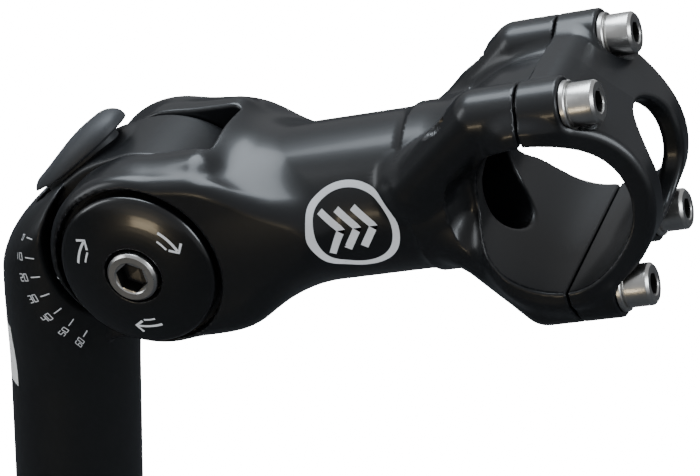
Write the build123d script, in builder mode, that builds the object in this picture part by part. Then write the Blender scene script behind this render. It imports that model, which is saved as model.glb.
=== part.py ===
"""Adjustable quill stem for a bicycle: a column that clamps in the steerer tube, an arm that
tilts on top of it, and a four-bolt clamp for a 31.8 mm handlebar.

Millimetres. +X points forward, +Y to the rider's left, +Z up. The origin is on the column's
axis, where the thick column steps down to the quill that goes into the steerer tube. The arm
and all that rides on it are drawn level, about the tilt axis, and then tipped to their rest
angle.
"""

from build123d import *
from math import cos, radians, sin, tan
import os

# Column and quill
COLUMN_RADIUS = 14.3
COLUMN_STEP = 2.5
QUILL_RADIUS = 12.7
QUILL_LENGTH = 100.0
QUILL_BORE_RADIUS = 10.3
QUILL_BORE_TOP = 42.0
QUILL_CUT_RISE = 40.0

# Head on top of the column
PIVOT_X = 23.5
PIVOT_Z = 78.0
HEAD_HALF_WIDTH = 17.75
FLARE_START = 38.0
FLARE_END = 60.0
TONGUE_HALF_WIDTH = 9.25
TONGUE_RADIUS = 20.8
RECESS_RADIUS = 22.8
SEAT_ANGLE = 46.5
SEAT_HEIGHT = 7.4

# Points of the head's outline: distance forward of the column's axis, height above the tilt axis
REAR_ROUND_START = -19.0
REAR_ROUND_MIDDLE = (-12.6, -9.0)
REAR_ROUND_END = -8.5
TONGUE_TURN = 7.0
TONGUE_CREST = (12.9, 18.6)
NECK_MIDDLE = (15.6, -23.0)
NECK_FOOT = -31.0

# Tilt joint
ARM_REST_ANGLE = 20.0
BUSH_RADIUS = 6.0
RUNNING_FIT = 0.06
M8_RADIUS = 4.0
RING_INNER_RADIUS = 9.0
RING_OUTER_RADIUS = 16.5
RING_BODY = 1.45
TOOTH_HEIGHT = 0.6
TOOTH_COUNT = 36
TOOTH_WIDTH = 1.1
TOOTH_TAPER = 25.0
POCKET_CLEARANCE = 0.1

# Arm and its fork
ARM_LENGTH = 90.0
TUBE_RADIUS = 16.5
TUBE_BORE_RADIUS = 12.5
TUBE_BORE_START = 26.0
EAR_RADIUS = 20.5
EAR_FACE = 20.5
EAR_EDGE_ROUND = 4.6
FORK_MIDDLE = (14.0, -1.0)
FORK_MIDDLE_RADIUS = 17.5
FORK_FRONT = (27.0, -2.0)
FORK_FRONT_RADIUS = 10.5
FORK_TAPER_START = 16.0
FORK_TAPER_END = (40.0, 14.0)
SLOT_HALF_WIDTH = 9.5
SLOT_DEPTH = 21.4
SLOT_WALL_BEND = 8.0
SLOT_WALL_TOP = (17.9, 30.0)
RECESS_FLOOR = 17.0
DOME_RECESS_RADIUS = 18.3

# Dome washers, tilt bolt and nut
DOME_RADIUS = 17.4
DOME_EDGE = 20.6
DOME_TOP = 23.0
DOME_CROWN = 0.45
BOLT_WELL_RADIUS = 6.2
BOLT_WELL_FLOOR = 18.65
TILT_HEAD_RADIUS = 5.5
TILT_HEAD_HEIGHT = 5.4
TILT_BOLT_LENGTH = 41.0
TILT_KEY = 6.0
TILT_KEY_DEPTH = 3.6
NUT_WIDTH = 13.0
NUT_HEIGHT = 6.4
NUT_WELL_FLOOR = 17.9

# Handlebar clamp
BAR_RADIUS = 15.9
CLAMP_HALF_WIDTH = 22.5
CLAMP_BACK_HALF_WIDTH = 16.0
CLAMP_RING_RADIUS = 20.2
CLAMP_SPLIT = 0.5
CLAMP_BACK = 27.0
CLAMP_WAIST = 14.0
CLAMP_WAIST_WIDTH = 38.0
CLAMP_WAIST_HEIGHT = 45.4
CLAMP_WAIST_ROUND = 9.0
CLAMP_FRONT = 5.0
CLAMP_FRONT_WIDTH = 43.0
BOSS_RADIUS = 5.9
SADDLE_WIDTH = 15.0
BOLT_RISE = 20.0
BOLT_SPREAD = 15.0
TAB_FACE = 8.5
WINDOW_HALF_WIDTH = 8.7
WINDOW_HALF_HEIGHT = 12.2
MOUTH_HALF_WIDTH = 9.0
MOUTH_HALF_HEIGHT = 9.5
WEB_HALF_HEIGHT = 3.9
WEB_RISE = 18.5

# Faceplate bolts, M5
M5_RADIUS = 2.5
M5_HEAD_RADIUS = 4.25
M5_HEAD_HEIGHT = 5.5
M5_LENGTH = 20.0
M5_KEY = 4.0
M5_KEY_DEPTH = 2.6
M5_WASHER_RADIUS = 4.9
M5_WASHER_HEIGHT = 1.2
BOLT_CLEARANCE = 0.25
THREAD_CLEARANCE = 0.05

# Expander
EXPANDER_SEAT = PIVOT_Z - 13.0
EXPANDER_WELL_RADIUS = 7.25
EXPANDER_HEAD_RADIUS = 6.5
EXPANDER_HEAD_HEIGHT = 8.0
EXPANDER_LENGTH = 180.0
EXPANDER_KEY = 6.0
EXPANDER_KEY_DEPTH = 4.0
EXPANDER_WASHER_RADIUS = 7.0
EXPANDER_WASHER_HEIGHT = 1.2
WEDGE_RADIUS = 12.5
WEDGE_BOTTOM = -118.0
WEDGE_GAP = 0.4

# Cap over the expander bolt
CAP_HALF_LENGTH = 14.5
CAP_HALF_WIDTH = 8.6
CAP_CENTRE_X = 1.9
CAP_RIM_HEIGHT = 10.3
CAP_THICKNESS = 5.6
CAP_LOW_END = 3.0
CAP_EDGE_ROUND = 2.2
CAP_PAD_SCALE = 0.74
CAP_PAD_GAP = 0.1
CAP_PLUG_RADIUS = 7.0
CAP_PLUG_BOTTOM = PIVOT_Z - 2.4

# Helpers
EDGE_BREAK = 0.4
BEYOND = 60.0

os.makedirs("parts", exist_ok=True)

ARM_PLACE = Location((PIVOT_X, 0, PIVOT_Z), (0, -ARM_REST_ANGLE, 0))
PIVOT_PLACE = Location((PIVOT_X, 0, PIVOT_Z))
PIVOT = (PIVOT_X, PIVOT_Z)
SIDES = {"right": -1, "left": 1}


def save(part, label, place=Location()):
    """Move a finished piece to its place, name it and write it."""
    placed = part.moved(place)
    placed.label = label
    export_step(placed, f"parts/{label}.step")


def side_plane(side, distance, centre=(0, 0)):
    """A plane across the tilt axis at a distance to one side, facing outwards."""
    origin = (centre[0], side * distance, centre[1])
    return Plane(origin=origin, x_dir=(1, 0, 0), z_dir=(0, side, 0))


def socket_bolt(shank_radius, shank_length, head_radius, head_height, key, key_depth):
    """A socket head bolt along Z, its head standing on Z = 0 and its shank below."""
    with BuildPart() as bolt:
        Cylinder(head_radius, head_height, align=(Align.CENTER, Align.CENTER, Align.MIN))
        chamfer(bolt.edges().filter_by(GeomType.CIRCLE).sort_by(Axis.Z)[-1], EDGE_BREAK)
        Cylinder(shank_radius, shank_length, align=(Align.CENTER, Align.CENTER, Align.MAX))
        chamfer(bolt.edges().filter_by(GeomType.CIRCLE).sort_by(Axis.Z)[0], EDGE_BREAK)
        with BuildSketch(Plane.XY.offset(head_height)):
            RegularPolygon(key / 2, side_count=6, major_radius=False)
        extrude(amount=-key_depth, mode=Mode.SUBTRACT)
    return bolt.part


def washer(outer_radius, inner_radius, height):
    """A plain washer standing on Z = 0."""
    with BuildPart() as ring:
        with BuildSketch():
            Circle(outer_radius)
            Circle(inner_radius, mode=Mode.SUBTRACT)
        extrude(amount=height)
        chamfer(ring.edges().filter_by(GeomType.CIRCLE).group_by(SortBy.RADIUS)[-1], EDGE_BREAK / 2)
    return ring.part


def toothed_ring():
    """A lock ring standing on Z = 0, with radial teeth on top."""
    with BuildPart() as ring:
        with BuildSketch():
            Circle(RING_OUTER_RADIUS)
            Circle(RING_INNER_RADIUS, mode=Mode.SUBTRACT)
        extrude(amount=RING_BODY)
        with BuildSketch(Plane.XY.offset(RING_BODY)):
            with PolarLocations((RING_INNER_RADIUS + RING_OUTER_RADIUS) / 2, TOOTH_COUNT):
                Rectangle(RING_OUTER_RADIUS - RING_INNER_RADIUS - 2 * EDGE_BREAK, TOOTH_WIDTH)
        extrude(amount=TOOTH_HEIGHT, taper=TOOTH_TAPER)
    return ring.part


# Quill column: hollow quill, round column, flared head, and the tongue that the fork straddles.
seat_slope = tan(radians(SEAT_ANGLE))


def seat_z(x):
    """Height of the slanted cap seat above the origin, at a distance forward of the axis."""
    return PIVOT_Z + SEAT_HEIGHT + x * seat_slope


with BuildPart() as quill_column:
    Cylinder(QUILL_RADIUS, QUILL_LENGTH, align=(Align.CENTER, Align.CENTER, Align.MAX))
    with BuildSketch(Plane.XY):
        Circle(QUILL_RADIUS)
    with BuildSketch(Plane.XY.offset(COLUMN_STEP)):
        Circle(COLUMN_RADIUS)
    loft()
    with BuildSketch(Plane.XY.offset(COLUMN_STEP)):
        Circle(COLUMN_RADIUS)
    extrude(amount=FLARE_START - COLUMN_STEP)

    # The head widens sideways from a circle to an oval
    with BuildSketch(Plane.XY.offset(FLARE_START)):
        Circle(COLUMN_RADIUS)
    with BuildSketch(Plane.XY.offset((FLARE_START + FLARE_END) / 2)):
        Ellipse(COLUMN_RADIUS, (COLUMN_RADIUS + HEAD_HALF_WIDTH) / 2)
    with BuildSketch(Plane.XY.offset(FLARE_END)):
        Ellipse(COLUMN_RADIUS, HEAD_HALF_WIDTH)
    loft()
    with BuildSketch(Plane.XY.offset(FLARE_END)):
        Ellipse(COLUMN_RADIUS, HEAD_HALF_WIDTH)
    extrude(amount=seat_z(COLUMN_RADIUS) - FLARE_END)

    # Everything above the slanted seat goes, with the rear corner rounded
    with BuildSketch(Plane.XZ) as above_seat:
        with BuildLine():
            rear = (-COLUMN_RADIUS - EDGE_BREAK, PIVOT_Z + REAR_ROUND_START)
            rear_middle = (REAR_ROUND_MIDDLE[0], PIVOT_Z + REAR_ROUND_MIDDLE[1])
            seat_foot = (REAR_ROUND_END, seat_z(REAR_ROUND_END))
            seat_head = (2 * COLUMN_RADIUS, seat_z(2 * COLUMN_RADIUS))
            ThreePointArc(rear, rear_middle, seat_foot)
            Polyline(seat_foot, seat_head, (-BEYOND, seat_head[1]), (-BEYOND, rear[1]), rear)
        make_face()
    extrude(amount=BEYOND, both=True, mode=Mode.SUBTRACT)

    # The tongue: a disc about the tilt axis, run back into the head
    with BuildSketch(Plane.XZ):
        with BuildLine():
            tongue_top = (PIVOT_X, PIVOT_Z + TONGUE_RADIUS)
            tongue_front = (PIVOT_X + TONGUE_RADIUS, PIVOT_Z)
            tongue_foot = (PIVOT_X, PIVOT_Z - TONGUE_RADIUS)
            seat_turn = (TONGUE_TURN, seat_z(TONGUE_TURN))
            tongue_crest = (TONGUE_CREST[0], PIVOT_Z + TONGUE_CREST[1])
            neck_middle = (NECK_MIDDLE[0], PIVOT_Z + NECK_MIDDLE[1])
            neck_foot = (COLUMN_RADIUS - 1, PIVOT_Z + NECK_FOOT)
            ThreePointArc(seat_turn, tongue_crest, tongue_top)
            RadiusArc(tongue_top, tongue_front, TONGUE_RADIUS)
            RadiusArc(tongue_front, tongue_foot, TONGUE_RADIUS)
            ThreePointArc(tongue_foot, neck_middle, neck_foot)
            Polyline(neck_foot, (0, PIVOT_Z + NECK_FOOT), (0, seat_z(0)), seat_turn)
        make_face()
    extrude(amount=TONGUE_HALF_WIDTH, both=True)

    # Round recesses for the ears, pockets for the toothed rings
    for side in SIDES.values():
        with BuildSketch(side_plane(side, TONGUE_HALF_WIDTH, PIVOT)):
            Circle(RECESS_RADIUS)
        extrude(amount=BEYOND, mode=Mode.SUBTRACT)
        with BuildSketch(side_plane(side, TONGUE_HALF_WIDTH, PIVOT)):
            Circle(RING_OUTER_RADIUS + POCKET_CLEARANCE)
            Circle(RING_INNER_RADIUS - POCKET_CLEARANCE, mode=Mode.SUBTRACT)
        extrude(amount=-RING_BODY - TOOTH_HEIGHT, mode=Mode.SUBTRACT)

    # Bores: tilt axis, hollow quill, expander bolt and its well
    with BuildSketch(side_plane(1, 0, PIVOT)):
        Circle(BUSH_RADIUS)
    extrude(amount=BEYOND, both=True, mode=Mode.SUBTRACT)
    with BuildSketch(Plane.XY.offset(-QUILL_LENGTH)):
        Circle(QUILL_BORE_RADIUS)
    extrude(amount=QUILL_LENGTH + QUILL_BORE_TOP, mode=Mode.SUBTRACT)
    with BuildSketch(Plane.XY.offset(QUILL_BORE_TOP)):
        Circle(M8_RADIUS + BOLT_CLEARANCE)
    extrude(amount=EXPANDER_SEAT - QUILL_BORE_TOP, mode=Mode.SUBTRACT)
    with BuildSketch(Plane.XY.offset(EXPANDER_SEAT)):
        Circle(EXPANDER_WELL_RADIUS)
    extrude(amount=BEYOND, mode=Mode.SUBTRACT)

    # Slanted lower end, where the wedge bears
    cut_normal = (QUILL_CUT_RISE, 0, 2 * QUILL_RADIUS)
    cut_height = QUILL_CUT_RISE / 2 - QUILL_LENGTH
    split(bisect_by=Plane(origin=(0, 0, cut_height), z_dir=cut_normal), keep=Keep.TOP)
save(quill_column.part, "quill_column")

# Expander wedge: a plug cut to the same slant, with an M8 thread
with BuildPart() as expander_wedge:
    with BuildSketch(Plane.XY.offset(WEDGE_BOTTOM)):
        Circle(WEDGE_RADIUS)
        Circle(M8_RADIUS + RUNNING_FIT, mode=Mode.SUBTRACT)
    extrude(amount=QUILL_LENGTH)
    cut_origin = (0, 0, cut_height - WEDGE_GAP)
    split(bisect_by=Plane(origin=cut_origin, z_dir=cut_normal), keep=Keep.BOTTOM)
save(expander_wedge.part, "expander_wedge")

# Expander bolt and its washer, on the column's axis
expander_head_seat = EXPANDER_SEAT + EXPANDER_WASHER_HEIGHT
expander_bolt = socket_bolt(
    M8_RADIUS, EXPANDER_LENGTH, EXPANDER_HEAD_RADIUS, EXPANDER_HEAD_HEIGHT, EXPANDER_KEY, EXPANDER_KEY_DEPTH
)
expander_washer = washer(EXPANDER_WASHER_RADIUS, M8_RADIUS + BOLT_CLEARANCE, EXPANDER_WASHER_HEIGHT)
save(expander_bolt, "expander_bolt", Location((0, 0, expander_head_seat)))
save(expander_washer, "expander_washer", Location((0, 0, EXPANDER_SEAT)))

# Cap: a soft oval lid on the slanted seat, thicker at its upper end, with a plug in the well
cap_x_dir = (cos(radians(SEAT_ANGLE)), 0, sin(radians(SEAT_ANGLE)))
cap_z_dir = (-sin(radians(SEAT_ANGLE)), 0, cos(radians(SEAT_ANGLE)))
cap_origin = (CAP_CENTRE_X, 0, PIVOT_Z + CAP_RIM_HEIGHT + CAP_CENTRE_X * seat_slope)
cap_plane = Plane(origin=cap_origin, x_dir=cap_x_dir, z_dir=cap_z_dir)
pad_height = (CAP_RIM_HEIGHT - SEAT_HEIGHT) * cos(radians(SEAT_ANGLE)) - CAP_PAD_GAP
with BuildPart() as expander_cap:
    with BuildSketch(Plane.XY.offset(CAP_PLUG_BOTTOM)):
        Circle(CAP_PLUG_RADIUS)
    extrude(amount=BEYOND)
    split(bisect_by=cap_plane, keep=Keep.BOTTOM)
    with BuildSketch(cap_plane):
        Ellipse(CAP_HALF_LENGTH * CAP_PAD_SCALE, CAP_HALF_WIDTH * CAP_PAD_SCALE)
    extrude(amount=-pad_height)

    # The lid, its sloping top face and rounded edge
    with BuildSketch(cap_plane):
        Ellipse(CAP_HALF_LENGTH, CAP_HALF_WIDTH)
    extrude(amount=CAP_THICKNESS)
    lid_low = (cap_plane * Location((-CAP_HALF_LENGTH, 0, CAP_LOW_END))).position
    lid_high = (cap_plane * Location((CAP_HALF_LENGTH, 0, CAP_THICKNESS))).position
    lid_axis = Axis(lid_low, (lid_high - lid_low).cross(Vector(0, 1, 0)))
    split(bisect_by=Plane(origin=lid_low, z_dir=lid_axis.direction), keep=Keep.BOTTOM)
    fillet(expander_cap.faces().sort_by(lid_axis)[-1].edges(), CAP_EDGE_ROUND)
save(expander_cap.part, "expander_cap")

# Bush in the tongue, and the lock rings on the tongue and in the ears
with BuildPart() as tilt_bush:
    with BuildSketch(side_plane(1, 0, PIVOT)):
        Circle(BUSH_RADIUS)
        Circle(M8_RADIUS + RUNNING_FIT, mode=Mode.SUBTRACT)
    extrude(amount=TONGUE_HALF_WIDTH, both=True)
save(tilt_bush.part, "tilt_bush")

ring = toothed_ring()
tongue_ring_back = TONGUE_HALF_WIDTH - RING_BODY - TOOTH_HEIGHT
ear_ring_back = SLOT_HALF_WIDTH + RING_BODY + TOOTH_HEIGHT
for name, side in SIDES.items():
    facing_out = Plane(origin=(0, side * tongue_ring_back, 0), z_dir=(0, side, 0))
    facing_in = Plane(origin=(0, side * ear_ring_back, 0), z_dir=(0, -side, 0))
    save(ring, f"tongue_ring_{name}", PIVOT_PLACE * facing_out.location)
    save(ring, f"ear_ring_{name}", ARM_PLACE * facing_in.location)

# Arm, in its own level frame: fork, round tube and the rear half of the handlebar clamp
with BuildPart() as arm:
    # Fork: a drop-shaped block seen from the side, narrowing forward to the tube
    with BuildSketch(Plane.XZ):
        Circle(EAR_RADIUS)
        with Locations(FORK_MIDDLE):
            Circle(FORK_MIDDLE_RADIUS)
        with Locations(FORK_FRONT):
            Circle(FORK_FRONT_RADIUS)
        make_hull()
    extrude(amount=EAR_FACE, both=True)
    fillet(arm.faces().filter_by(Axis.Y).edges(), EAR_EDGE_ROUND)
    with BuildSketch(Plane.XY):
        with BuildLine():
            ear_back = (-EAR_RADIUS, EAR_FACE)
            ear_front = (FORK_TAPER_START, EAR_FACE)
            Polyline((-EAR_RADIUS, 0), ear_back, ear_front, FORK_TAPER_END, (FORK_TAPER_END[0], 0))
            mirror(about=Plane.XZ)
        make_face()
    extrude(amount=BEYOND, both=True, mode=Mode.INTERSECT)

    # Round tube
    with BuildSketch(Plane.YZ.offset(FORK_TAPER_START)):
        Circle(TUBE_RADIUS)
    extrude(amount=ARM_LENGTH - CLAMP_RING_RADIUS - FORK_TAPER_START)

    # Clamp body: flares from the tube to the full clamp width at the split
    clamp_back = ARM_LENGTH - CLAMP_BACK
    split_face = ARM_LENGTH - CLAMP_SPLIT
    with BuildSketch(Plane.YZ.offset(clamp_back)):
        RectangleRounded(2 * CLAMP_BACK_HALF_WIDTH, 2 * TUBE_RADIUS - 1, TUBE_RADIUS - 1)
    with BuildSketch(Plane.YZ.offset(ARM_LENGTH - CLAMP_WAIST)):
        RectangleRounded(CLAMP_WAIST_WIDTH, CLAMP_WAIST_HEIGHT, CLAMP_WAIST_ROUND)
    with BuildSketch(Plane.YZ.offset(ARM_LENGTH - CLAMP_FRONT)):
        RectangleRounded(CLAMP_FRONT_WIDTH, 2 * (BOLT_RISE + BOSS_RADIUS), BOSS_RADIUS)
    with BuildSketch(Plane.YZ.offset(split_face)):
        RectangleRounded(2 * CLAMP_HALF_WIDTH, 2 * (BOLT_RISE + BOSS_RADIUS), BOSS_RADIUS)
    loft(ruled=True)

    # Saddles between the upper and between the lower pair of bosses
    with BuildSketch(Plane.YZ.offset(split_face)):
        with GridLocations(0, 2 * (CLAMP_RING_RADIUS + BOSS_RADIUS), 1, 2):
            RectangleRounded(SADDLE_WIDTH, 2 * BOSS_RADIUS, SADDLE_WIDTH / 4)
    extrude(amount=-CLAMP_RING_RADIUS, mode=Mode.SUBTRACT)

    # Bar seat, hollow tube and its mouth into the seat
    with BuildSketch(side_plane(1, 0, (ARM_LENGTH, 0))):
        Circle(BAR_RADIUS)
    extrude(amount=BEYOND, both=True, mode=Mode.SUBTRACT)
    with BuildSketch(Plane.YZ.offset(TUBE_BORE_START)):
        Circle(TUBE_BORE_RADIUS)
    extrude(amount=clamp_back - TUBE_BORE_START, mode=Mode.SUBTRACT)
    with BuildSketch(Plane.YZ.offset(clamp_back - EDGE_BREAK)):
        RectangleRounded(2 * MOUTH_HALF_WIDTH, 2 * MOUTH_HALF_HEIGHT, MOUTH_HALF_WIDTH - EDGE_BREAK)
    extrude(amount=BAR_RADIUS, mode=Mode.SUBTRACT)

    # Fork slot for the tongue, its front wall leaning back at top and bottom
    with BuildSketch(Plane.XZ):
        with BuildLine():
            slot_back = (-BEYOND, SLOT_WALL_TOP[1])
            slot_bend = (SLOT_DEPTH, SLOT_WALL_BEND)
            Polyline((-BEYOND, 0), slot_back, SLOT_WALL_TOP, slot_bend, (SLOT_DEPTH, 0))
            mirror(about=Plane.XZ)
        make_face()
    extrude(amount=SLOT_HALF_WIDTH, both=True, mode=Mode.SUBTRACT)

    # Ears: outer recesses for the dome washers, inner pockets for the toothed rings
    for side in SIDES.values():
        with BuildSketch(side_plane(side, RECESS_FLOOR)):
            Circle(DOME_RECESS_RADIUS)
        extrude(amount=BEYOND, mode=Mode.SUBTRACT)
        with BuildSketch(side_plane(side, SLOT_HALF_WIDTH)):
            Circle(RING_OUTER_RADIUS + POCKET_CLEARANCE)
            Circle(RING_INNER_RADIUS - POCKET_CLEARANCE, mode=Mode.SUBTRACT)
        extrude(amount=RING_BODY + TOOTH_HEIGHT, mode=Mode.SUBTRACT)
    with BuildSketch(side_plane(1, 0)):
        Circle(M8_RADIUS + BOLT_CLEARANCE)
    extrude(amount=BEYOND, both=True, mode=Mode.SUBTRACT)

    # Threaded holes right through the bosses
    with BuildSketch(Plane.YZ.offset(split_face)):
        with GridLocations(2 * BOLT_SPREAD, 2 * BOLT_RISE, 2, 2):
            Circle(M5_RADIUS + THREAD_CLEARANCE)
    extrude(amount=-BEYOND / 2, mode=Mode.SUBTRACT)
save(arm.part, "arm", ARM_PLACE)

# Dome washers: each fills an ear's recess, with a well for the bolt head or the nut
for name, side in SIDES.items():
    with BuildPart() as dome_washer:
        with BuildSketch(Plane.XZ):
            with BuildLine():
                edge_top = (DOME_RADIUS, DOME_EDGE - RECESS_FLOOR)
                crown = (BOLT_WELL_RADIUS, DOME_TOP - RECESS_FLOOR)
                crown_height = (edge_top[1] + crown[1]) / 2 + DOME_CROWN
                crown_middle = ((edge_top[0] + crown[0]) / 2, crown_height)
                bore = M8_RADIUS + BOLT_CLEARANCE
                ThreePointArc(edge_top, crown_middle, crown)
                Polyline(crown, (bore, crown[1]), (bore, 0), (DOME_RADIUS, 0), edge_top)
            make_face()
        revolve(axis=Axis.Z)
        if name == "right":
            with BuildSketch(Plane.XY.offset(BOLT_WELL_FLOOR - RECESS_FLOOR)):
                Circle(BOLT_WELL_RADIUS)
        else:
            with BuildSketch(Plane.XY.offset(NUT_WELL_FLOOR - RECESS_FLOOR)):
                RegularPolygon(NUT_WIDTH / 2 + POCKET_CLEARANCE, side_count=6, major_radius=False)
        extrude(amount=DOME_TOP, mode=Mode.SUBTRACT)
    save(dome_washer.part, f"dome_washer_{name}", ARM_PLACE * side_plane(side, RECESS_FLOOR).location)

# Tilt bolt from the right, nut on the left
tilt_bolt = socket_bolt(
    M8_RADIUS, TILT_BOLT_LENGTH, TILT_HEAD_RADIUS, TILT_HEAD_HEIGHT, TILT_KEY, TILT_KEY_DEPTH
)
save(tilt_bolt, "tilt_bolt", ARM_PLACE * side_plane(-1, BOLT_WELL_FLOOR).location)
with BuildPart() as tilt_nut:
    with BuildSketch():
        RegularPolygon(NUT_WIDTH / 2, side_count=6, major_radius=False)
        Circle(M8_RADIUS + THREAD_CLEARANCE, mode=Mode.SUBTRACT)
    extrude(amount=NUT_HEIGHT)
save(tilt_nut.part, "tilt_nut", ARM_PLACE * side_plane(1, NUT_WELL_FLOOR).location)

# Faceplate: the front half of the clamp, two rings joined at top and bottom
with BuildPart() as faceplate:
    with BuildSketch(side_plane(1, 0, (ARM_LENGTH, 0))):
        Circle(CLAMP_RING_RADIUS)
    extrude(amount=CLAMP_HALF_WIDTH, both=True)
    with BuildSketch(Plane.YZ.offset(ARM_LENGTH)):
        with GridLocations(2 * BOLT_SPREAD, 2 * BOLT_RISE, 2, 2):
            Circle(BOSS_RADIUS)
        with Locations((0, WEB_RISE), (0, -WEB_RISE)):
            Rectangle(2 * BOLT_SPREAD, 2 * WEB_HALF_HEIGHT)
        with GridLocations(2 * BOLT_SPREAD, 2 * BOLT_RISE - 2 * BOSS_RADIUS, 2, 2):
            Rectangle(2 * BOSS_RADIUS, 2 * BOSS_RADIUS)
    extrude(amount=TAB_FACE)
    with BuildSketch(side_plane(1, 0, (ARM_LENGTH, 0))):
        Circle(BAR_RADIUS)
    extrude(amount=BEYOND, both=True, mode=Mode.SUBTRACT)
    split(bisect_by=Plane.YZ.offset(ARM_LENGTH + CLAMP_SPLIT), keep=Keep.TOP)

    # Window between the two rings
    with BuildSketch(Plane.YZ.offset(ARM_LENGTH)):
        SlotOverall(2 * WINDOW_HALF_HEIGHT, 2 * WINDOW_HALF_WIDTH, rotation=90)
    extrude(amount=BEYOND, mode=Mode.SUBTRACT)

    # Clearance holes and flat seats for the bolts
    with BuildSketch(Plane.YZ.offset(ARM_LENGTH)):
        with GridLocations(2 * BOLT_SPREAD, 2 * BOLT_RISE, 2, 2):
            Circle(M5_RADIUS + BOLT_CLEARANCE)
    extrude(amount=BEYOND, mode=Mode.SUBTRACT)
    with BuildSketch(Plane.YZ.offset(ARM_LENGTH + TAB_FACE)):
        with GridLocations(2 * BOLT_SPREAD, 2 * BOLT_RISE, 2, 2):
            Circle(M5_WASHER_RADIUS + POCKET_CLEARANCE)
    extrude(amount=BEYOND, mode=Mode.SUBTRACT)
save(faceplate.part, "faceplate", ARM_PLACE)

# Faceplate bolts and washers: upper and lower, right and left
m5_bolt = socket_bolt(
    M5_RADIUS, M5_LENGTH, M5_HEAD_RADIUS, M5_HEAD_HEIGHT, M5_KEY, M5_KEY_DEPTH
)
m5_washer = washer(M5_WASHER_RADIUS, M5_RADIUS + BOLT_CLEARANCE, M5_WASHER_HEIGHT)
for side_name, side in SIDES.items():
    for level_name, level in {"upper": 1, "lower": -1}.items():
        hole = (ARM_LENGTH + TAB_FACE, side * BOLT_SPREAD, level * BOLT_RISE)
        washer_place = Plane(origin=hole, z_dir=(1, 0, 0)).location
        bolt_place = washer_place * Location((0, 0, M5_WASHER_HEIGHT))
        save(m5_washer, f"faceplate_washer_{level_name}_{side_name}", ARM_PLACE * washer_place)
        save(m5_bolt, f"faceplate_bolt_{level_name}_{side_name}", ARM_PLACE * bolt_place)
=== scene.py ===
"""Blender looks for the adjustable handlebar stem: sculpted alloy castings, bolts, prints,
painted finishes, studio stage and camera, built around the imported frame.

Sculpted pieces are drawn as distance fields in millimetres, meshed, and turned into metres
where they become objects. The arm's own axes are u (along the tube), v (to the rider's left)
and w (up), counted from the tilt axis.
"""

import bpy
import math
import numpy as np
import openvdb
from bpy.props import FloatProperty, IntProperty, PointerProperty
from mathutils import Matrix, Vector


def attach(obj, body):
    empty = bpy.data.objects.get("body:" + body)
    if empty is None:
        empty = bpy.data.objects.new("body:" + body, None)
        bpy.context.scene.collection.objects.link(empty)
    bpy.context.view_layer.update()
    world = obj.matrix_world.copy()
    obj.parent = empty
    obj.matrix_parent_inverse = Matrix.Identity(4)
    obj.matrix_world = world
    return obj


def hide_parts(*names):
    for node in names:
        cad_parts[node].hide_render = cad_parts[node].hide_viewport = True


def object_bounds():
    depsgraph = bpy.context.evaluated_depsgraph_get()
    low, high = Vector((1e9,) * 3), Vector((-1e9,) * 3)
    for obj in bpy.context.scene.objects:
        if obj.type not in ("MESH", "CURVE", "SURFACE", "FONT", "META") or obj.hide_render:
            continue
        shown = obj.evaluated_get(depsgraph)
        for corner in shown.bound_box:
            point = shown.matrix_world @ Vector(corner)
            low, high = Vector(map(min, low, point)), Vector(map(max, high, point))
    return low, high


bl_info = {
    "name": "Handlebar Stem Builder",
    "version": (1, 0, 0),
    "blender": (4, 5, 0),
    "location": "3D View > Sidebar > Stem",
    "description": "Builds the visible pieces of an adjustable handlebar stem around its frame",
    "category": "Object",
}

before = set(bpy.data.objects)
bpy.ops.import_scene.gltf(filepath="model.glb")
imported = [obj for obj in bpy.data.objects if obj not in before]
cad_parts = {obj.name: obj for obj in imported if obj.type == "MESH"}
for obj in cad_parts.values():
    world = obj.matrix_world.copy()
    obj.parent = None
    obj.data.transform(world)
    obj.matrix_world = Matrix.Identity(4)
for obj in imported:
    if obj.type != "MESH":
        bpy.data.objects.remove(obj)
cad_low, cad_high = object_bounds()

MM = 0.001
PIVOT = np.array([23.5, 0.0, 78.0])
ARM_TILT = math.radians(20.0)
U = np.array([math.cos(ARM_TILT), 0.0, math.sin(ARM_TILT)])
V = np.array([0.0, 1.0, 0.0])
W = np.array([-math.sin(ARM_TILT), 0.0, math.cos(ARM_TILT)])
ARM_AXES = np.array([U, V, W])
ROW_AXES = np.eye(3)
ORIGIN = np.zeros(3)

COLUMN_RADIUS = 14.3
QUILL_RADIUS = 12.7
SEAT_SLOPE = math.radians(46.5)
SEAT_HEIGHT = 7.4
TONGUE_HALF = 9.25
BAR_U = 90.0
BAR_RADIUS = 15.9
RING_RADIUS = 20.3
CLAMP_HALF = 22.5
BOLT_V = 15.0
BOLT_W = 20.0
BOSS_RADIUS = 5.9
TAB_FACE = 98.5
TUBE_RADIUS = 16.5
SEAM_HALF = 0.22
PIVOT_BORE = 4.25
CHEEK_DEPTH = 17.0
RECESS_RADIUS = 18.3
RING_POCKET_OUTER = 16.6
RING_POCKET_INNER = 8.9

# Domed washers
DOME_RADIUS = 17.0
DOME_SHOULDER = 3.95
DOME_RISE = 2.05
DOME_WELL = 6.2
DOME_CROWN_RADIUS = 6.6
DOME_CROWN_SPAN = 10.3

# Bolts: head radius, head height, key size, key depth, shank radius, length
TILT_SCREW = (5.5, 5.4, 6.0, 3.6, 4.0, 41.0)
CLAMP_SCREW = (4.25, 5.5, 4.0, 2.8, 2.5, 20.0)
TILT_HEAD_SEAT = 18.65
WASHER_THICKNESS = 1.2
THREAD_PITCH = 0.8

# Angle scale and other prints, in millimetres and degrees
SCALE_TOP = 60
SCALE_STEP = 10
SCALE_TICK = (24.7, 26.9)
SCALE_FIGURES = 28.9
MARK_CENTRES = (146.6, 31.8, -93.5)
LABEL_ANGLE = -153.0
LABEL_BOTTOM, LABEL_TOP = 35.5, 51.5
INSERTION_TOP, INSERTION_BOTTOM = -35.0, -39.5

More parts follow.
